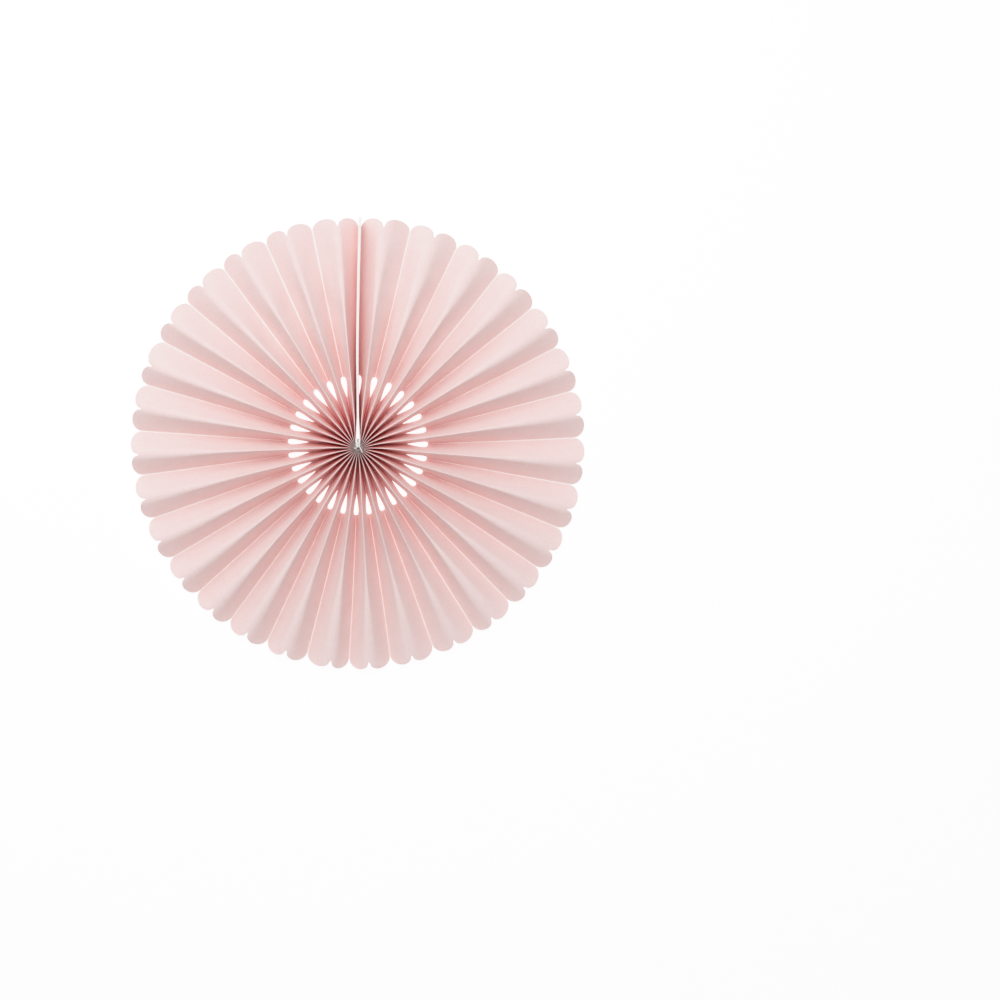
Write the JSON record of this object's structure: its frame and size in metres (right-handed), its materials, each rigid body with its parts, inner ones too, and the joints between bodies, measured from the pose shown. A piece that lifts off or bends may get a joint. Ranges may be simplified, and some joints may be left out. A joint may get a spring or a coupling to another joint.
{
  "type": "paper fan rosette",
  "caption": "Round pleated paper fan decoration with scalloped rim, a ring of drop-shaped cut-outs and a white card seam.",
  "frame": {"origin": "on the resting plane at the back of the fan, under the middle of its round outline", "axes": "+Z out of the fan's front, +Y towards the seam with the two cards (12 o'clock), +X to the right seen from the front"},
  "size_m": [0.3996, 0.398, 0.0251],
  "materials": {
    "pink_paper": "matt, uncoated, pale powder pink",
    "white_card": "matt white stiff card",
    "tape": "translucent double-sided tape",
    "white_thread": "twisted white cotton"
  },
  "bodies": {
    "root": {"paper_fan": "pink_paper", "end_card_left": "white_card", "end_card_right": "white_card", "adhesive_tape": "tape", "tie_thread": "white_thread"}
  },
  "joints": []
}
